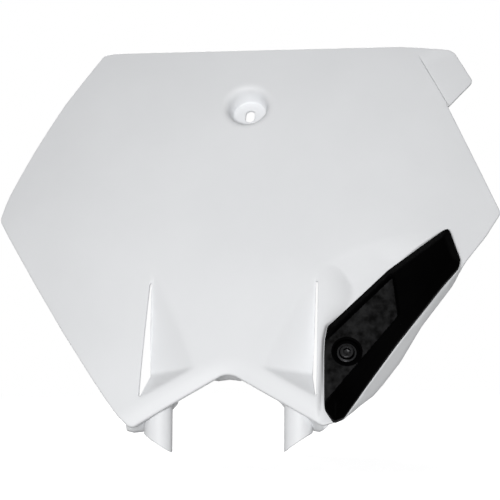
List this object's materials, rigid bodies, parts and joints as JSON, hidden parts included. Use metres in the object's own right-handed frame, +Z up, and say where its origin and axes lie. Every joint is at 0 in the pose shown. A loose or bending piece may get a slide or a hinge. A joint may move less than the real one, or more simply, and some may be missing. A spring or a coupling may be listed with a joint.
{
  "type": "racing number board",
  "caption": "Moulded front number board for an off-road motorcycle, curved and six-sided, with a recessed screw seat, air vents, a side tab, lower prongs and a black hose guide.",
  "frame": {"origin": "middle of the slotted hole on the upper screw's seat", "axes": "+X to the right across the board as seen from its front, -Y out of its front, +Z up, with the board leaning back as it does on the motorcycle"},
  "size_m": [0.3013, 0.1338, 0.2365],
  "materials": {
    "plate": "smooth moulded, satin gloss",
    "guide": "fine moulded grain",
    "screw": "black oxide"
  },
  "bodies": {
    "root": {"number_plate": "plate", "hose_guide": "guide", "guide_screw": "screw"}
  },
  "joints": []
}
